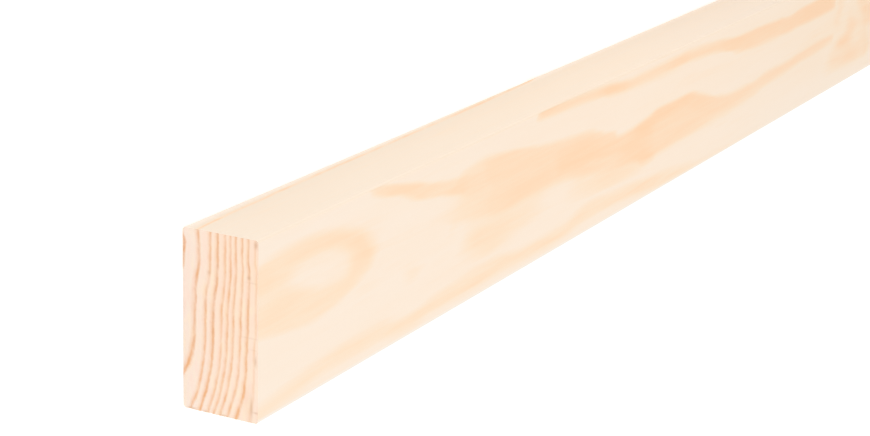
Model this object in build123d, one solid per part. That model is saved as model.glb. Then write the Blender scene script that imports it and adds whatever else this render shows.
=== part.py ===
from build123d import *
import os

# A planed softwood plank, sawn and planed from one piece of timber.
# It lies flat: X runs along the grain, Y across the wide face, Z up through the thickness.
# The origin is the middle of the underside, and the end seen in the photograph is the one at low X.

# Driving dimensions, in millimetres
plank_length = 2400.0
plank_width = 95.0
plank_thickness = 44.0
# Rounding that the planer's cutters leave on the four long edges. The sawn ends stay sharp.
arris_radius = 1.5


def planed_section():
    """The cross-section as it leaves the planer, standing on its underside, seen along the grain."""
    end_plane = Plane(origin=(-plank_length / 2, 0, plank_thickness / 2), x_dir=(0, 1, 0), z_dir=(1, 0, 0))
    return end_plane * RectangleRounded(plank_width, plank_thickness, arris_radius)


def plank():
    """The planed section run along the grain, and cut square at both ends."""
    return extrude(planed_section(), amount=plank_length)


os.makedirs("parts", exist_ok=True)
export_step(plank(), "parts/plank.step")
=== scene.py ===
# %% [markdown]
# # A planed softwood plank
#
# One length of pine, sawn and planed to 44 by 95 mm and cut off square. The frame holds its real size, and
# nothing here changes that. What this file adds is the wood itself. A plank is cut out of a tree, so the
# bands on its wide face, the fine lines on its narrow face and the rings on its sawn end are all one thing:
# the same growth rings, met by three cuts. They are written once, as a depth field in millimetres, and every
# surface reads that one field.

# %% Load the frame
import math

import bpy
from mathutils import Matrix, Vector


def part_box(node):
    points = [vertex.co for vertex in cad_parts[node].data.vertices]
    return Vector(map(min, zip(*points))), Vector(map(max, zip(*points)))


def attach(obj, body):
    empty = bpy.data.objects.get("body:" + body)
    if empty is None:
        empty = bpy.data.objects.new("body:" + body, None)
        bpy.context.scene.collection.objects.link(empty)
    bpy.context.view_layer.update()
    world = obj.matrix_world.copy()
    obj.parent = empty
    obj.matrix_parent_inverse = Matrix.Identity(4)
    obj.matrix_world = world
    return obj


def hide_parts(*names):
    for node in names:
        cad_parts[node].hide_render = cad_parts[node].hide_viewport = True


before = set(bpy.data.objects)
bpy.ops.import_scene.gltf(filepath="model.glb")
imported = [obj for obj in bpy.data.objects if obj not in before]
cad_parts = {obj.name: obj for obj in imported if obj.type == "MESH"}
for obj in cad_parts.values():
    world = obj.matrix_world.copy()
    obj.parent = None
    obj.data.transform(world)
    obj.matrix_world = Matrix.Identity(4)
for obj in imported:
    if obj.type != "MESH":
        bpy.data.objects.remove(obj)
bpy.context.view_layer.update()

MM = 0.001
low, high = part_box("plank")
length, width, thickness = high - low
print(f"plank: {length / MM:.0f} by {width / MM:.0f} by {thickness / MM:.0f} mm")

# %% [markdown]
# ## Sums with sockets
#
# A growth ring field needs a lot of arithmetic. Written as nodes one by one it would be unreadable, so a
# small class stands for one socket, and a sum on it adds the Math node that works the sum out. The same class
# serves the materials and the Geometry Nodes, because both kinds of tree use the same Math, Noise and Float
# Curve nodes. The field can then be written once and grown in both.

# %% Sums with sockets


class Value:
    """One number or vector in a node tree, written as if it were a plain number."""

    def __init__(self, bench, socket):
        self.bench = bench
        self.socket = socket

    def sum(self, operation, *numbers):
        inputs = dict(zip(("Value", "Value_001", "Value_002"), numbers))
        return self.bench.add("ShaderNodeMath", {"operation": operation}, inputs)["Value"]

    def __add__(self, other):
        return self.sum("ADD", self, other)

    def __radd__(self, other):
        return self.sum("ADD", other, self)

    def __sub__(self, other):
        return self.sum("SUBTRACT", self, other)

    def __rsub__(self, other):
        return self.sum("SUBTRACT", other, self)

    def __mul__(self, other):
        return self.sum("MULTIPLY", self, other)

    def __rmul__(self, other):
        return self.sum("MULTIPLY", other, self)

    def __truediv__(self, other):
        return self.sum("DIVIDE", self, other)

    def __pow__(self, other):
        return self.sum("POWER", self, other)

    def __rpow__(self, other):
        return self.sum("POWER", other, self)

    def __neg__(self):
        return self.sum("MULTIPLY", self, -1.0)

    def __abs__(self):
        return self.sum("ABSOLUTE", self)

    def at_least(self, other):
        return self.sum("MAXIMUM", self, other)

    def at_most(self, other):
        return self.sum("MINIMUM", self, other)

    def root(self):
        return self.sum("SQRT", self)

    def sign(self):
        return self.sum("SIGN", self)

    def step(self, start, end):
        """0 up to start, 1 past end, and an S-shaped rise between."""
        settings = {"interpolation_type": "SMOOTHSTEP"}
        inputs = {"Value": self, "From Min": start, "From Max": end}
        return self.bench.add("ShaderNodeMapRange", settings, inputs)["Result"]


class Bench:
    """A node tree being written, of a material or of Geometry Nodes."""

    def __init__(self, tree):
        self.tree = tree

    def add(self, kind, settings=None, inputs=None):
        """Adds one node, its settings first and then its sockets' values or links. Returns its outputs."""
        node = self.tree.nodes.new(kind)
        for name, value in (settings or {}).items():
            if name == "points":
                self.draw_curve(node.mapping, *value)
            else:
                setattr(node, name, value)
        sockets = {socket.identifier: socket for socket in node.inputs}
        for name, value in (inputs or {}).items():
            if isinstance(value, Value):
                self.tree.links.new(value.socket, sockets[name])
            else:
                sockets[name].default_value = value
        return {socket.identifier: Value(self, socket) for socket in node.outputs}

    @staticmethod
    def draw_curve(mapping, points, handle):
        """Draws a curve through points, level beyond the first and the last."""
        mapping.extend = "HORIZONTAL"
        line = mapping.curves[0]
        while len(line.points) < len(points):
            line.points.new(0.5, 0.5)
        for point, (x, y) in zip(line.points, points):
            point.location = (x, y)
            point.handle_type = handle
        mapping.update()

    def parts(self, vector):
        parts = self.add("ShaderNodeSeparateXYZ", inputs={"Vector": vector})
        return parts["X"], parts["Y"], parts["Z"]

    def vector(self, x, y, z):
        return self.add("ShaderNodeCombineXYZ", inputs={"X": x, "Y": y, "Z": z})["Vector"]

    def cloud(self, place, size, seed, detail=2.0):
        """Soft noise from -1 to 1 whose blots are about size millimetres along, across and through."""
        shift = self.vector(seed, 1.7 * seed, -seed)
        offset = self.add(
            "ShaderNodeVectorMath",
            {"operation": "MULTIPLY_ADD"},
            {"Vector": place, "Vector_001": tuple(1 / s for s in size), "Vector_002": shift},
        )["Vector"]
        noise = self.add("ShaderNodeTexNoise", inputs={"Vector": offset, "Scale": 1.0, "Detail": detail})
        return noise["Fac"] * 2.0 - 1.0

    def drawn(self, along, points, handle="AUTO_CLAMPED"):
        """A line through points (along, value), read at along. Handle VECTOR draws it straight."""
        xs = [x for x, value in points]
        values = [value for x, value in points]
        start, reach = xs[0], xs[-1] - xs[0]
        least, span = min(values), max(values) - min(values)
        line = [((x - start) / reach, (value - least) / span) for x, value in points]
        inputs = {"Value": (along - start) / reach}
        return self.add("ShaderNodeFloatCurve", {"points": (line, handle)}, inputs)["Value"] * span + least

    def blend(self, share, first, second):
        """Colour first where share is 0, second where it is 1."""
        settings = {"data_type": "RGBA"}
        inputs = {"Factor_Float": share, "A_Color": first, "B_Color": second}
        return self.add("ShaderNodeMix", settings, inputs)["Result_Color"]


print("sums with sockets are ready")

# %% [markdown]
# ## Where the rings lie
#
# All places are in millimetres. `along` starts at the sawn end that the photograph shows, `across` is up in
# the photograph, from -47.5 to 47.5, and `through` rises from the hidden wide face, 0, to the visible one,
# 44. Ring depth says how far a point lies from the tree's heart, counted like `through` at the middle of the
# sawn end. Latewood, the dark part of each ring, ends at the depths in this list, which were read off the
# sawn end. Its colour rises slowly on the heart's side and stops short on the bark's side, where the next
# spring began. Each cut has its own list of how dark every ring shows. A cut along a ring spreads its
# latewood wide and soft, and the narrow face shows only one ring clearly. On the sawn end some rings are also
# wider than others.

# %% Where the rings lie
RING_ENDS = (-9.5, -2.5, 7.0, 13.5, 18.2, 22.9, 26.4, 29.9, 34.2, 38.6, 43.3, 47.7, 52.5, 56.8, 61.0)
FACE_STRENGTHS = (0.8, 0.85, 0.9, 0.8, 1.0, 0.7, 0.7, 0.75, 0.85, 0.85, 0.95, 0.85, 0.8, 0.8, 0.8)
END_STRENGTHS = (0.8, 1.0, 0.9, 0.8, 1.0, 0.7, 0.8, 0.8, 0.8, 0.9, 0.4, 0.5, 0.8, 0.8, 0.8)
EDGE_STRENGTHS = (0.3, 0.4, 1.0, 0.1, 0.12, 0.08, 0.08, 0.08, 0.12, 0.08, 0.05, 0.1, 0.1, 0.1, 0.1)
FACE_WIDTHS = (1.0,) * len(RING_ENDS)
END_WIDTHS = (1.2, 1.3, 1.35, 1.15, 1.25, 1.0, 1.0, 1.0, 0.95, 1.1, 0.8, 1.0, 1.0, 1.0, 1.0)
DEEPEST, SHALLOWEST = -14.0, 64.0

# The plank's thickness, and the ring depth of its visible wide face where no stroke is drawn
SURFACE = 44.0
FACE_DEPTH = 45.5

# Latewood half-way up its rise, the share of the rise that is fully dark, and latewood where it stops
HALF_WAY, FULL_SHARE, AT_STOP = 0.42, 0.2, 0.96
LEAST_GAP = 0.1


def latewood(bench, depth, strengths, widths, inner, outer):
    """How dark the wood is at a ring depth: a slow rise over inner, and a quick fall over outer."""
    line = [(DEEPEST, 0.0)]
    for end, strength, width in zip(RING_ENDS, strengths, widths):
        start = end - inner * width
        full = end - FULL_SHARE * (end - start)
        rise = ((start, 0.0), ((start + end) / 2, HALF_WAY * strength), (full, strength))
        line += [point for point in rise if point[0] > line[-1][0] + LEAST_GAP]
        line += [(end, AT_STOP * strength), (end + outer, 0.0)]
    line.append((SHALLOWEST, 0.0))
    return bench.drawn(depth, line, "VECTOR")


print(len(RING_ENDS), "growth rings")

# %% [markdown]
# ## The figure of the wide face
#
# On the wide face the cut runs nearly along the rings, so a dip of one or two millimetres in a ring spreads
# into a band or a blotch. The figure is therefore drawn as dips in the ring depth. Each stroke is a few rows
# of (along, upper edge, lower edge, dip), drawn from the photograph as it looks when it is flattened onto the
# face. A dip of 2.2 brings the darkest latewood to the surface, and a smaller one shows its paler outer side.
# Spots are small ovals of (along, across), reach and dip, and a dip below 0 pales the wood. In the lower
# bands the rings rise instead. Beyond about 950 mm, where the photograph stops, the strokes go on as such a
# plank's would.

# %% The figure of the wide face
TONGUE = (
    (100, 48, 45, 0), (116, 47.3, 41.2, 1.4), (140, 42.6, 35.2, 1.5), (155, 39, 31.6, 1.45),
    (170, 35.4, 28, 1.4), (190, 32.4, 23.6, 1.35), (206, 31.3, 21, 1.0), (222, 30, 18, 0.35),
    (240, 28, 16, 0),
)
FLAME = (
    (170, 20, 8, 0), (200, 28, 5, 0.45), (218, 34, 1, 1.0), (240, 35, -1, 1.3), (258, 34, -2.5, 1.5),
    (300, 28.7, -2, 1.5), (340, 24.3, -2.5, 1.35), (380, 21.6, -7.5, 1.3), (400, 17.8, -10, 1.25),
    (420, 10.9, -12, 1.25), (436, 6.9, -13.8, 1.3), (450, 7.2, -15.5, 1.4), (466, 8.4, -18.5, 1.5),
    (488, 10, -21.8, 1.55), (505, 12.2, -20, 1.5), (545, 11.8, -19.4, 1.5), (572, 7.4, -19.4, 1.5),
    (595, 2.8, -18.9, 1.4), (612, -1.9, -18.5, 1.35), (645, -4.6, -18.3, 1.3), (680, -4.5, -16.9, 1.25),
    (705, -2.5, -14.3, 1.25), (745, -2.4, -12.3, 1.25), (780, -1.2, -9.9, 1.3), (825, 0.2, -8.2, 1.3),
    (848, 0, -7, 1.2), (868, 0, -6, 0),
)
FLAME_HEART = (
    (332, 13, 1, 0), (352, 15, 0, 0.4), (380, 15, 0, 0.45), (410, 11, -3, 0.4), (440, 5.5, -7, 0.3),
    (466, 5, -11, 0.25), (482, 3, -17, 0.2), (500, -6, -21, 0),
)
FLAME_CREST = (
    (455, 6, -2, 0), (480, 8.5, -1, 0.25), (505, 11, 2.5, 0.3), (545, 11.3, 3, 0.3), (565, 8, -3, 0.2),
    (598, 0, -12, 0.2), (625, -5, -14.5, 0.25), (655, -6.5, -14, 0.25), (690, -4.5, -12, 0.15),
    (720, -3, -9, 0),
)
UPPER_BAND = (
    (304, 47, 43.5, 0), (317, 49, 42.5, 1.6), (345, 48.5, 42, 1.4), (372, 46.7, 40.8, 1.3),
    (400, 45.2, 39, 1.6), (418, 44, 36.8, 1.85), (438, 42.5, 35.4, 1.8), (456, 42, 34.8, 1.4),
    (500, 42.5, 34.2, 1.3), (534, 43, 34.8, 1.6), (562, 42.5, 34.3, 1.35), (600, 41.3, 31.8, 1.45),
    (622, 39.2, 28.5, 1.75), (650, 36.9, 24.4, 1.85), (690, 36.5, 22.4, 1.75), (735, 35.1, 21.7, 1.65),
    (755, 33.2, 20.5, 1.65), (775, 34.7, 21.8, 1.7), (812, 35.9, 21.1, 1.9), (845, 34.4, 20.6, 1.85),
    (868, 32, 21, 0),
)
LOWER_BAND = (
    (-10, -38.5, -45.5, 1.0), (20, -35, -43.3, 1.1), (50, -32, -41.3, 1.15), (80, -30, -40.3, 1.2),
    (115, -29.5, -40.8, 1.2), (148, -33.5, -43.5, 1.15), (178, -31, -41, 1.15), (205, -29.8, -41.2, 1.2),
    (235, -28.3, -41.3, 1.2), (265, -28.6, -41, 1.2), (300, -33, -42, 1.2), (345, -33, -42.3, 1.2),
    (378, -29.6, -40.3, 1.2), (405, -27.3, -39.3, 1.25), (440, -28.3, -40.3, 1.25), (475, -31.8, -43.6, 1.2),
    (505, -34.8, -45.5, 1.15), (540, -39.5, -48, 1.1), (580, -42.5, -50, 0.95), (660, -44, -51, 0.8),
    (760, -47, -53, 0.5),
)
FAR_FLAME = (
    (1120, 6, -2, 0), (1180, 7, -2, 1.0), (1300, 17, -1, 1.2), (1420, 19, -8, 1.3), (1560, 17, -15, 1.2),
    (1700, 14, -21, 1.4), (1850, 15, -18, 1.3), (2000, 16, -10, 1.1), (2200, 15, -1, 1.2), (2400, 12, 2, 1.1),
)
FAR_UPPER_BAND = (
    (1100, 40, 32, 0), (1180, 40, 31.5, 1.3), (1400, 42, 33, 1.5), (1700, 38, 29, 1.6), (2000, 41, 33, 1.4),
    (2400, 43, 35, 1.3),
)
FAR_LOWER_BAND = (
    (1080, -47, -55, 1.0), (1220, -40, -48, 1.3), (1450, -33, -41, 1.4), (1700, -36, -44, 1.3),
    (2000, -39, -47, 1.35), (2400, -34, -42, 1.3),
)
SPOTS = (
    ((154, -12), (15, 6), 0.75), ((200, 3), (10, 5), 0.5), ((232, -11), (18, 9), 0.85),
    ((262, -11), (28, 10), 0.95), ((302, -10), (24, 10), 0.7), ((248, -22.5), (26, 5), 0.5),
    ((255, 2), (18, 4), -0.3), ((372, -10), (16, 4), 0.5), ((400, -14), (26, 7), 0.3),
    ((415, -6), (22, 4), -0.35), ((424, -20), (42, 9), 0.85), ((462, -24), (26, 5), 0.5),
    ((690, -3.5), (14, 3), -0.4), ((700, 24), (24, 2.5), -0.3), ((715, 19), (45, 5), 0.25),
    ((830, 12), (60, 9), 0.35), ((896, -11.5), (18, 6), 1.5), ((914, -6), (13, 13), 0.8),
    ((902, -25), (42, 8), 1.15), ((868, -20), (16, 10), 0.5), ((950, -23), (30, 9), 0.5),
    ((930, -31), (30, 5), 0.6), ((962, -30), (10, 6), 0.5), ((958, -14), (12, 14), 0.3),
    ((912, 6), (12, 11), 0.45), ((878, 14), (11, 11), 0.6), ((885, 25), (14, 8), 0.5),
    ((936, 5), (14, 10), 0.4), ((945, -4), (18, 13), 0.5), ((14, 3), (26, 5), 0.3),
    ((6, 25), (12, 6), 0.3), ((22, 9), (18, 4), 0.3), ((48, 27.5), (15, 3), 0.4),
    ((89, 11), (6, 6), 0.4), ((100, 18), (16, 14), 0.3), ((104, -3), (14, 8), -0.5),
)

# Each stroke with how far its upper and its lower edge fade, in millimetres each way
DIPS = (
    (TONGUE, 2.0, 2.4), (FLAME, 2.8, 3.8), (FLAME_HEART, 3.0, 3.6), (FLAME_CREST, 2.8, 3.6),
    (UPPER_BAND, 2.8, 3.0), (FAR_FLAME, 2.6, 3.6), (FAR_UPPER_BAND, 1.8, 2.2),
)
RISES = ((LOWER_BAND, 4.2, 3.4), (FAR_LOWER_BAND, 4.2, 3.4))

# The loop beside the sawn end, with its pale window, and the swirl where the photograph stops. Each oval has
# a middle (along, across), a reach and a slope, and then comes how deep it dips
LOOP = ((41, 14.3), (73.5, 24), 0.03)
LOOP_WINDOW = ((62, 17), (27, 9.5), 0.12)
LOOP_DIP, LOOP_GROWTH = 0.95, 0.15
SWIRL = ((1012, 13), (82, 33), 0.06)
SWIRL_DIP, SWIRL_HEART = 1.05, 0.75


def columns(rows):
    """The rows of a stroke as three lines along the plank: its upper edge, its lower edge and its dip."""
    return [tuple((row[0], row[column]) for row in rows) for column in (1, 2, 3)]


def stroke(along, across, bench, rows, above, below):
    """The dip of one stroke. Its upper edge fades over above millimetres each way, its lower over below."""
    upper, lower, dip = (bench.drawn(along, line) for line in columns(rows))
    inside = (upper - across).step(-above, above) * (across - lower).step(-below, below)
    return inside * dip


def oval(along, across, middle, reach, slope=0.0):
    """How far out a place lies in an oval: 0 in its middle and 1 on its rim. Slope tilts it along."""
    level = across - middle[1] + slope * (along - middle[0])
    return (((along - middle[0]) / reach[0]) ** 2.0 + (level / reach[1]) ** 2.0).root()


def spot(along, across, middle, reach):
    """1 in the middle of an oval spot, falling away as a bell curve does."""
    return math.e ** -(oval(along, across, middle, reach) ** 2.0)


print("drawn rows:", sum(len(rows) for rows, above, below in DIPS + RISES))

# %% [markdown]
# ## One field for the whole plank
#
# Inside the plank the rings are nearly flat sheets: the heart of the tree lies far behind the hidden face.
# Low on the sawn end they bend back, and high up they step forward a little. Near the visible face the drawn
# figure takes over, but only in the last few millimetres, so that the rings on the sawn end stay where they
# were read. Deep inside, the sheets drift along the plank, which carries the dark line of the narrow face
# towards its far edge. A few bends, each (across, through), reach and shift, set single rings on the sawn end
# where they are seen. Soft noise, stretched along the grain, makes every line waver the way real wood does.

# %% One field for the whole plank
BACK_DRIFT = (
    (0, 0), (14, 1.5), (60, 2.8), (120, 3.9), (250, 4.9), (350, 5.6), (380, 6.2), (404, 9.0), (520, 10.2),
    (700, 10.5), (1100, 6), (1500, 11), (1900, 15), (2400, 9),
)
BENDS = (
    ((41, 10), (9, 2.5), -0.6), ((12, 7), (9, 2.5), 0.7), ((-24, 2), (6, 2.5), 0.9), ((27, 0.5), (7, 2), 1.3),
    ((-46, 5), (9, 2.5), -0.9),
)

# How far noise moves the drawn edges, along and across
RAGGED_ALONG, RAGGED_ACROSS = 16.0, 1.5

# How far it moves the rings: broadly, finely and deep inside, where whole sheets warp
WAVER, FINE_WAVER, WARP = 0.5, 0.34, 5.0


def face_depth(along, across, bench):
    """Ring depth on the visible wide face."""
    flat = bench.vector(along, across, 0.0)
    across = across + RAGGED_ACROSS * bench.cloud(flat, (46, 7, 7), seed=17.3)
    along = along + RAGGED_ALONG * bench.cloud(flat, (60, 16, 16), seed=2.6)
    depth = FACE_DEPTH
    for rows, above, below in DIPS:
        depth = depth - stroke(along, across, bench, rows, above, below)
    for rows, above, below in RISES:
        depth = depth + stroke(along, across, bench, rows, above, below)
    for middle, reach, dip in SPOTS:
        depth = depth - dip * spot(along, across, middle, reach)
    loop = 1.0 - oval(along, across, *LOOP).step(0.84, 1.1)
    window = 1.0 - oval(along, across, *LOOP_WINDOW).step(0.7, 1.45)
    depth = depth - (LOOP_DIP + LOOP_GROWTH * along.step(10, 90)) * loop * (1.0 - 0.85 * window)
    swirl = oval(along, across, *SWIRL) + 0.24 * bench.cloud(flat, (48, 11, 11), seed=27.7)
    depth = depth - SWIRL_DIP * (1.0 - swirl.step(0.76, 1.12))
    return depth + SWIRL_HEART * (1.0 - swirl.step(0.2, 0.7))


def sheet_level(along, across, through):
    """Ring depth of the sheets inside the plank, and the level that they would have at the visible face."""
    # Low down the sheets bend back
    fall = 6.7 * ((-4.0 - across).at_least(0.0) / 39.2) ** 2.0
    # High up they step forward, and near the top of the hidden face back again
    rise = 4.2 * (across - 0.7 * (20.0 - through).at_least(0.0)).step(4, 30) * (1.0 - through / 55.0)
    rise = rise - 2.6 * across.step(39, 48) * (1.0 - through / 16.0).at_least(0.0)
    level = through + fall * (1.0 - 0.3 * through.step(26, SURFACE)) - rise
    # The deepest sheets bend back sooner than the rest
    level = level + 4.4 * (1.0 - across.step(-33, -7)) * (1.0 - level.step(4, 9))
    # The bends of single rings belong to the sawn end and fade along the plank
    near = 1.0 - along.step(60, 400)
    for middle, reach, shift in BENDS:
        level = level - shift * near * spot(across, through, middle, reach)
    return level, SURFACE + fall * 0.7 - 0.84 * across.step(4, 30)


def ring_depth(along, across, through, bench):
    """Ring depth anywhere in the plank, in millimetres."""
    level, at_face = sheet_level(along, across, through)
    share = through / SURFACE
    warp = WARP * bench.cloud(bench.vector(along, across, 0.0), (420, 55, 55), seed=31.5) * along.step(0, 250)
    drift = (bench.drawn(along, BACK_DRIFT) + warp) * (1.0 - share)
    depth = level + drift + (face_depth(along, across, bench) - at_face) * share ** 5.0
    place = bench.vector(along, across, through)
    depth = depth + WAVER * bench.cloud(place, (150, 9, 9), seed=3.1)
    return depth + FINE_WAVER * bench.cloud(place, (34, 2.2, 2.2), seed=8.7)


def wood_place(position, bench):
    """A position in metres as along, across and through, in millimetres."""
    x, y, z = bench.parts(position)
    return (x - low.x) / MM, y / MM, z / MM


print(f"the deepest ring drawn ends at {RING_ENDS[0]} mm, the shallowest at {RING_ENDS[-1]} mm")

# %% [markdown]
# ## Two finishes of one wood
#
# Planed pine is pale cream with orange latewood, smooth and softly satin. The sawn end drinks the light: its
# latewood is darker and thinner, and the surface is a matt brush of cut fibres. Both finishes are Principled
# shaders on the same field. Thin latewood looks honey yellow and thick latewood orange. Farther along, the
# wood is a little greyer. The two arrises that the photograph shows carry a painted highlight, and the seen
# narrow face is painted lighter low down, to lift the shade where it meets the floor. The sawn end has
# small marks: brown spots, a nick low down, dark flecks along its lower edge and three fine scratches of the
# saw. Each mark is (across, through), reach and strength, and so is each of the two shades near the visible
# face. In one worn gap the rings show faintly. The spots of the narrow face are (along, through), reach and
# strength. Colours are given as they look on a screen, from 0 to 255, and turned into the linear light values
# that Blender works with.

# %% Two finishes of one wood


def paint(red, green, blue):
    """A colour as it looks on a screen, in Blender's linear light."""
    parts = [part / 255 for part in (red, green, blue)]
    linear = [part / 12.92 if part <= 0.04045 else ((part + 0.055) / 1.055) ** 2.4 for part in parts]
    return (*linear, 1.0)


def new_finish(name, settings):
    """An empty material with a Principled shader, whose fixed values are set on its own sockets."""
    material = bpy.data.materials.new(name)
    material.use_nodes = True
    shader = material.node_tree.nodes["Principled BSDF"]
    for socket, value in settings.items():
        shader.inputs[socket].default_value = value
    return material, Bench(material.node_tree), shader


def finish_with(bench, shader, **looks):
    """Links what changes over the surface to the shader's sockets."""
    for name, value in looks.items():
        bench.tree.links.new(value.socket, shader.inputs[name.replace("_", " ")])


PALE_WOOD = paint(237, 221, 204)
PALE_EDGE = paint(234, 217, 197)
DULL_EDGE = paint(224, 206, 192)
# A painted highlight for the arris between the seen narrow face and the wide face
PAINTED_ARRIS_HIGHLIGHT = paint(241, 224, 204)
HONEY_WOOD = paint(238, 213, 185)
DARK_WOOD = paint(240, 198, 157)
GREYED = paint(184, 190, 186)
PALE_END = paint(235, 218, 204)
WARM_END = paint(237, 213, 192)
ORANGE_END = paint(227, 172, 125)
BROWN_END = paint(212, 166, 134)
PINK_END = paint(241, 208, 192)
YELLOW_END = paint(241, 222, 190)
MARK = paint(203, 164, 133)
# Painted light for the narrow face low down, against the shade where it meets the floor
PAINTED_LIGHT_EDGE = paint(244, 230, 216)
# A painted highlight for the lower arris
PAINTED_LOWER_ARRIS_HIGHLIGHT = paint(234, 227, 217)

MARKS = (
    ((45, 42.6), (2.0, 1.1), 0.7), ((27.8, 38.7), (1.0, 0.9), 0.75), ((26.5, 15.4), (1.0, 0.9), 0.4),
    ((-15, 42.6), (2.6, 0.8), 0.5), ((-40, 40.3), (5.0, 0.9), 0.6), ((-41.7, 43.0), (0.6, 1.6), 0.5),
    ((-46.9, 5), (0.7, 2.6), 0.6), ((-46.9, 13), (0.6, 1.5), 0.5), ((-46.9, 24), (0.6, 2.2), 0.5),
    ((-3.1, 39), (0.4, 5), 0.22), ((25.4, 40.5), (0.4, 3), 0.2), ((-9, 41.3), (0.4, 2.2), 0.15),
)
END_SHADES = (((-36, 37.5), (8, 2.5), 0.2), ((33, 42), (10, 2.5), 0.12))
WORN_GAP = ((22, 14.5), (6, 2.5))
EDGE_SPOTS = (
    ((430, 10), (14, 3), 0.14), ((44, 18), (14, 3), 0.08), ((240, 19), (16, 3.5), 0.1),
    ((437, 39), (14, 3), 0.1), ((345, 43.5), (35, 2.5), 0.15), ((650, 5), (18, 5), 0.1),
    ((682, 8), (16, 5), 0.1),
)
# How much darker the latewood grows farther along the plank
FARTHER_DARKENING = ((0, 0), (300, 0.1), (700, 0.17), (950, 0.26), (1500, 0.15), (2400, 0.05))

# How dark latewood is where honey turns to orange, and how much stronger rings are on the hidden narrow face
HONEY_TURN, HIDDEN_BOOST = 0.45, 4.5

# The shares of grey and of the painted highlight on the lower arris, and how high the fibres of each finish
# stand
GREY_SHARE, ARRIS_HIGHLIGHT_SHARE = 0.07, 0.8
PLANED_BUMP, SAWN_BUMP = 0.06 * MM, 0.12 * MM


def planed_latewood(along, across, through, narrow, seen, bench):
    """How dark the planed faces are: soft bands on the wide ones, one crisp blotchy ring on the narrow."""
    place = bench.vector(along, across, through)
    depth = ring_depth(along, across, through, bench)
    soft = latewood(bench, depth, FACE_STRENGTHS, FACE_WIDTHS, 2.3, 2.2)
    crisp = latewood(bench, depth, EDGE_STRENGTHS, FACE_WIDTHS, 2.4, 1.2)
    blotches = bench.cloud(place, (15, 60, 3.5), seed=40.8)
    boost = HIDDEN_BOOST - (HIDDEN_BOOST - 1.0) * seen
    crisp = (crisp * (0.64 + 0.9 * blotches) * boost).at_most(1.1)
    for middle, reach, strength in EDGE_SPOTS:
        crisp = crisp + strength * seen * spot(along, through, middle, reach)
    # Latewood darker farther along the plank, more so higher up the face
    farther_dark = bench.drawn(along, FARTHER_DARKENING) * (0.45 + 0.55 * across.step(-42, -12))
    return soft * (1.0 - narrow) + crisp * narrow + farther_dark


def earlywood(along, across, through, narrow, seen, bench):
    """Pale wood between the rings, with painted light low on the narrow face and a painted highlight on its
    arris.
    """
    dull = 0.5 * along.step(400, 780) * (1.0 - along.step(900, 1500))
    edge = bench.blend(dull, PALE_EDGE, DULL_EDGE)
    # Painted light low on the seen narrow face, lifting the shade where it meets the floor; it fades farther
    # along
    painted_light_low = (1.0 - through.step(0.5, 7.0)) * seen * (1.0 - along.step(700, 1200))
    edge = bench.blend(painted_light_low, edge, PAINTED_LIGHT_EDGE)
    # A painted highlight on the arris between the seen narrow face and the wide face, fainter farther along
    arris = across.step(46.0, 46.6) * through.step(42.0, 42.8) * (1.0 - 0.6 * along.step(500, 1000))
    return bench.blend(arris, bench.blend(narrow, PALE_WOOD, edge), PAINTED_ARRIS_HIGHLIGHT)


def planed_softwood():
    material, bench, shader = new_finish("planed softwood", {"IOR": 1.45})
    position = bench.add("ShaderNodeTexCoord")["Object"]
    along, across, through = wood_place(position, bench)
    place = bench.vector(along, across, through)
    narrow = abs(across).step(46.4, 47.3)
    seen = across.step(-10, 10)
    dark = planed_latewood(along, across, through, narrow, seen, bench)
    pale = earlywood(along, across, through, narrow, seen, bench)
    streaks = bench.cloud(place, (30, 0.55, 0.55), seed=14.2, detail=3.0)
    broad = bench.cloud(place, (120, 14, 14), seed=21.9)
    tone = (dark + 0.1 * broad + 0.04 * streaks).at_least(0.0)
    honey = bench.blend((tone / HONEY_TURN).at_most(1.0), pale, HONEY_WOOD)
    colour = bench.blend(((tone - HONEY_TURN) / (1.0 - HONEY_TURN)).at_least(0.0), honey, DARK_WOOD)
    grey = GREY_SHARE * along.step(450, 850) * (1.0 - along.step(1100, 1700))
    colour = bench.blend(grey, colour, GREYED)
    # A painted highlight on the lower arris of the wide face, fainter farther along
    lower_arris_highlight = (-across).step(44.5, 46.4) * through.step(41.5, 42.9) * (1.0 - 0.5 * along.step(700, 1100))
    colour = bench.blend(ARRIS_HIGHLIGHT_SHARE * lower_arris_highlight, colour, PAINTED_LOWER_ARRIS_HIGHLIGHT)
    satin = 0.56 - 0.1 * dark + 0.03 * streaks
    height = 0.6 * dark + 0.25 * streaks
    relief = bench.add("ShaderNodeBump", inputs={"Height": height, "Distance": PLANED_BUMP, "Strength": 0.6})
    finish_with(bench, shader, Base_Color=colour, Roughness=satin, Normal=relief["Normal"])
    return material


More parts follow.
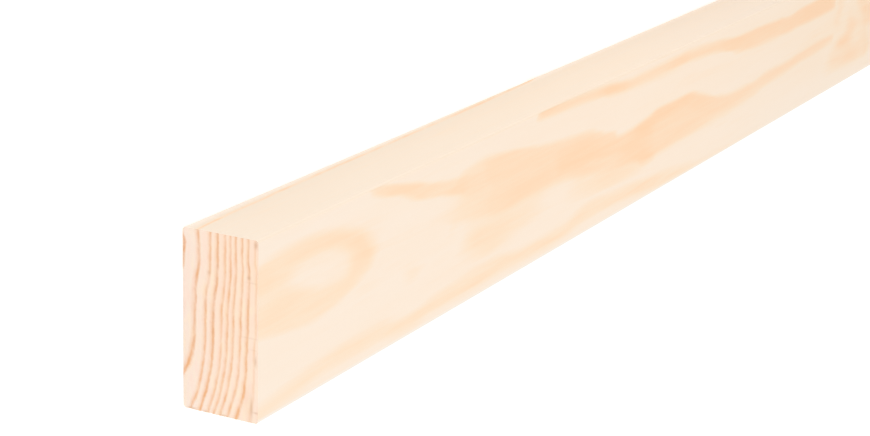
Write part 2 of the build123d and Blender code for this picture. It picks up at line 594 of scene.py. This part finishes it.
def sawn_softwood():
    material, bench, shader = new_finish("sawn softwood", {"IOR": 1.4})
    position = bench.add("ShaderNodeTexCoord")["Object"]
    along, across, through = wood_place(position, bench)
    place = bench.vector(along, across, through)
    depth = ring_depth(along, across, through, bench)
    rings = latewood(bench, depth, END_STRENGTHS, END_WIDTHS, 2.3, 0.8)
    specks = bench.cloud(place, (0.4, 0.28, 0.28), seed=5.5, detail=3.0)
    broad = bench.cloud(place, (30, 7, 4), seed=9.3)
    worn = 0.55 * spot(across, through, *WORN_GAP)
    dark = rings * (0.84 + 0.7 * broad) * (1.0 - worn) + 0.06 * specks + 0.05 * broad
    for middle, reach, strength in END_SHADES:
        dark = dark + strength * spot(across, through, middle, reach)
    low_down = 1.0 - across.step(-32, 12)
    pale = bench.blend(through.step(0, 26) * (1.0 - 0.3 * low_down), PALE_END, WARM_END)
    tone = bench.cloud(place, (20, 9, 2.4), seed=52.6)
    pale = bench.blend((0.8 * tone).at_least(0.0), pale, PINK_END)
    pale = bench.blend((-0.8 * tone).at_least(0.0), pale, YELLOW_END)
    browned = rings ** 3.0 * (1.0 - 0.7 * low_down) * (0.7 + 0.9 * bench.cloud(place, (20, 5, 2), seed=12.1))
    deep = bench.blend(browned.at_least(0.0), ORANGE_END, BROWN_END)
    colour = bench.blend(dark.at_least(0.0), pale, deep)
    marks = 0.0
    for middle, reach, strength in MARKS:
        marks = marks + strength * spot(across, through, middle, reach)
    colour = bench.blend(marks * (1.0 - along.step(600, 1200)), colour, MARK)
    matt = 0.82 - 0.1 * rings
    height = 0.5 * rings + 0.5 * specks
    relief = bench.add("ShaderNodeBump", inputs={"Height": height, "Distance": SAWN_BUMP, "Strength": 0.7})
    finish_with(bench, shader, Base_Color=colour, Roughness=matt, Normal=relief["Normal"])
    return material


planed = planed_softwood()
sawn = sawn_softwood()
print("finishes:", planed.name, "and", sawn.name)

# %% [markdown]
# ## The plank itself
#
# A planer and a saw make this shape, so it is made by a rule too, with Geometry Nodes: a box whose cells are
# fine near the sawn ends and along the edges, its four long edges rounded by the planer's cutters, and its
# ends worn by the saw into a shallow relief where the soft earlywood tears out deeper than the latewood. It
# could be a plain box with a bevel, but the ring relief and the ragged lower edge of the cut would then be
# missing.

# %% The plank itself
# Cells along, across and through, how many of them each rounding gets, and how they gather at the ends
CELLS = (110, 156, 76)
ARRIS_CELLS = 6
END_GATHER = 1.9

# The rounding of the long edges, the depth of the ring relief and the longest torn fibre
ARRIS = 1.5 * MM
SAW_RELIEF = 0.22 * MM
FRAY = 0.9 * MM

# Faces that meet more sharply than this angle keep a crisp edge between them
CREASE = 0.7


def group_inputs(tree, bench, sizes):
    """Gives a tree its named inputs, and returns their values by name and their identifiers by name."""
    names = {}
    for name, (kind, default) in sizes.items():
        socket = tree.interface.new_socket(name=name, in_out="INPUT", socket_type=kind)
        names[name] = socket.identifier
    outputs = bench.add("NodeGroupInput")
    return {name: outputs[identifier] for name, identifier in names.items()}, names


def gathered(part, half, cells, edge, edge_cells):
    """Moves evenly spaced cells so that edge_cells of them lie within the rounding of each edge."""
    share = 2.0 * edge_cells / cells
    rest = 1.0 - abs(part) / half
    inner = (rest - share).at_least(0.0) / (1.0 - share)
    inside = (rest / share).at_most(1.0) * edge + inner * (half - edge)
    return part.sign() * (half - inside)


def grow_plank():
    tree = bpy.data.node_groups.new("sawn and planed plank", "GeometryNodeTree")
    bench = Bench(tree)
    sizes = {
        "Length": ("NodeSocketFloat", length),
        "Width": ("NodeSocketFloat", width),
        "Thickness": ("NodeSocketFloat", thickness),
        "Arris": ("NodeSocketFloat", ARRIS),
        "Saw relief": ("NodeSocketFloat", SAW_RELIEF),
        "Fray": ("NodeSocketFloat", FRAY),
        "Seed": ("NodeSocketFloat", 4.0),
        "Planed": ("NodeSocketMaterial", planed),
        "Sawn": ("NodeSocketMaterial", sawn),
    }
    tree.interface.new_socket(name="Geometry", in_out="OUTPUT", socket_type="NodeSocketGeometry")
    given, names = group_inputs(tree, bench, sizes)
    size = bench.vector(given["Length"], given["Width"], given["Thickness"])
    counts = {f"Vertices {axis}": cells + 1 for axis, cells in zip("XYZ", CELLS)}
    box = bench.add("GeometryNodeMeshCube", inputs={"Size": size, **counts})["Mesh"]
    x, y, z = bench.parts(bench.add("GeometryNodeInputPosition")["Position"])
    half_length, half_width = given["Length"] / 2.0, given["Width"] / 2.0
    half_depth = given["Thickness"] / 2.0
    arris = given["Arris"]
    on_end = (abs(x) / half_length).step(0.99999, 1.0)

    from_end = half_length * (1.0 - abs(x) / half_length).at_least(0.0) ** END_GATHER
    new_y = gathered(y, half_width, CELLS[1], arris, ARRIS_CELLS)
    new_z = gathered(z, half_depth, CELLS[2], arris, ARRIS_CELLS)
    over_y = (abs(new_y) - half_width + arris).at_least(0.0)
    over_z = (abs(new_z) - half_depth + arris).at_least(0.0)
    reach = (over_y * over_y + over_z * over_z).root().at_least(1e-9)
    pull = over_y.at_least(over_z) / reach
    both = (over_y * over_z).sign()
    shrink = 1.0 - both * (1.0 - pull)
    new_y = new_y - new_y.sign() * over_y * (1.0 - shrink)
    new_z = new_z - new_z.sign() * over_z * (1.0 - shrink)

    along = (x.sign() * (half_length - from_end) + half_length) / MM
    across = new_y / MM
    through = (new_z + half_depth) / MM
    depth = ring_depth(along, across, through, bench)
    rings = latewood(bench, depth, END_STRENGTHS, END_WIDTHS, 2.0, 0.6)
    place = bench.vector(along, across, through)
    grit = bench.cloud(place, (3.0, 0.9, 0.9), seed=given["Seed"], detail=3.0)
    worn = on_end * given["Saw relief"] * (0.75 - 0.45 * rings + 0.22 * grit).at_least(0.0)
    new_x = x.sign() * (half_length - from_end - worn)
    torn = bench.cloud(place, (9.0, 30.0, 1.3), seed=given["Seed"] + 7.0, detail=3.0).at_least(0.0)
    new_y = new_y + on_end * given["Fray"] * torn * (-across).step(46.0, 47.4)
    moved = bench.vector(new_x, new_y, new_z + half_depth)
    placed = bench.add("GeometryNodeSetPosition", inputs={"Geometry": box, "Position": moved})["Geometry"]

    creased = bench.add("GeometryNodeInputMeshEdgeAngle")["Unsigned Angle"]
    sharp = creased.sum("GREATER_THAN", creased, CREASE)
    smooth = bench.add(
        "GeometryNodeSetShadeSmooth",
        {"domain": "EDGE"},
        {"Geometry": placed, "Selection": sharp, "Shade Smooth": False},
    )["Geometry"]
    planed_all = bench.add(
        "GeometryNodeSetMaterial", inputs={"Geometry": smooth, "Material": given["Planed"]}
    )["Geometry"]
    facing = bench.parts(bench.add("GeometryNodeInputNormal")["True Normal"])[0]
    ends = facing.sum("GREATER_THAN", abs(facing), 0.6)
    realized = bench.add("GeometryNodeRealizeInstances", inputs={"Geometry": planed_all})["Geometry"]
    finished = bench.add(
        "GeometryNodeSetMaterial", inputs={"Geometry": realized, "Selection": ends, "Material": given["Sawn"]}
    )["Geometry"]
    bench.tree.links.new(finished.socket, bench.tree.nodes.new("NodeGroupOutput").inputs[0])
    return tree, {names[name]: value for name, (kind, value) in sizes.items()}


def apply_tree(tree, values, name):
    """Runs a Geometry Nodes tree on an empty mesh, and keeps what it makes as a plain mesh."""
    holder = bpy.data.objects.new("holder", bpy.data.meshes.new("holder"))
    bpy.context.scene.collection.objects.link(holder)
    modifier = holder.modifiers.new("grow", "NODES")
    modifier.node_group = tree
    for identifier, value in values.items():
        modifier[identifier] = value
    graph = bpy.context.evaluated_depsgraph_get()
    mesh = bpy.data.meshes.new_from_object(holder.evaluated_get(graph))
    bpy.data.objects.remove(holder)
    while None in list(mesh.materials):
        mesh.materials.pop(index=list(mesh.materials).index(None))
    mesh.name = name
    piece = bpy.data.objects.new(name, mesh)
    bpy.context.scene.collection.objects.link(piece)
    return piece


plank = apply_tree(*grow_plank(), "planed_plank")
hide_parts("plank")
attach(plank, "root")
print("plank mesh:", len(plank.data.vertices), "points,", [m.name for m in plank.data.materials])

# %% [markdown]
# ## Floor, light and camera
#
# The plank lies on a pale studio floor in light that comes from all sides, as in a light tent, with one large
# soft lamp to show the relief. The floor glows a little, as a light table does, so that it comes out as white
# as the photograph's ground. The camera stands where the photograph was taken from. The photograph shows the
# plank on its narrow edge, so here, where it lies flat, the camera is turned on its side with it.

# %% Floor, light and camera
FLOOR_SIZE, FLOOR_DROP = 60, 0.4 * MM
FLOOR_WHITE = (0.85, 0.85, 0.85, 1.0)
FLOOR_GLOW = 0.39
TENT_STRENGTH = 1.02
LAMP_PLACE, LAMP_TARGET = (-1.6, -0.9, 2.8), (-0.8, 0, 0)
LAMP_SIZE, LAMP_POWER = 2.2, 15


def studio_floor():
    bpy.ops.mesh.primitive_plane_add(size=FLOOR_SIZE, location=(0, 0, -FLOOR_DROP))
    floor = bpy.context.object
    floor.name = "studio_floor"
    looks = {"Base Color": FLOOR_WHITE, "Roughness": 0.9, "Specular IOR Level": 0.2}
    glow = {"Emission Color": FLOOR_WHITE, "Emission Strength": FLOOR_GLOW}
    material = new_finish("light table", {**looks, **glow})[0]
    floor.data.materials.append(material)


def soft_lamp(name, place, target, size, power):
    data = bpy.data.lights.new(name, "AREA")
    data.shape = "DISK"
    data.size = size
    data.energy = power
    lamp = bpy.data.objects.new(name, data)
    lamp.location = place
    lamp.rotation_euler = (Vector(target) - Vector(place)).to_track_quat("-Z", "Y").to_euler()
    bpy.context.scene.collection.objects.link(lamp)


studio_floor()
world = bpy.data.worlds.new("light tent")
world.use_nodes = True
tent = world.node_tree.nodes["Background"]
tent.inputs["Color"].default_value = (1.0, 1.0, 1.0, 1.0)
tent.inputs["Strength"].default_value = TENT_STRENGTH
bpy.context.scene.world = world
soft_lamp("large soft lamp", LAMP_PLACE, LAMP_TARGET, LAMP_SIZE, LAMP_POWER)
bpy.context.scene.view_settings.view_transform = "Standard"

# Where the photograph was taken from, in the plank's own frame: eye, line of sight and the picture's up
EYE = Vector((-2.05708, 0.36584, 0.59535))
SIGHT = Vector((0.84598, -0.28685, -0.44949))
UPWARD = Vector((0.23972, 0.95758, -0.15992))
PICTURE_WIDTH, FOCAL_PIXELS, SENSOR = 870, 2209.4, 36.0

camera_data = bpy.data.cameras.new("photograph's camera")
camera_data.sensor_width = SENSOR
camera_data.lens = FOCAL_PIXELS / PICTURE_WIDTH * SENSOR
camera_data.clip_start = 0.05
camera = bpy.data.objects.new("camera", camera_data)
right = SIGHT.cross(UPWARD).normalized()
turned = Matrix((right, right.cross(SIGHT).normalized(), -SIGHT.normalized())).transposed()
camera.matrix_world = Matrix.Translation(EYE) @ turned.to_4x4()
bpy.context.scene.collection.objects.link(camera)
bpy.context.scene.camera = camera
print(f"lens {camera_data.lens:.1f} mm")

# %% Update the scene
bpy.context.view_layer.update()
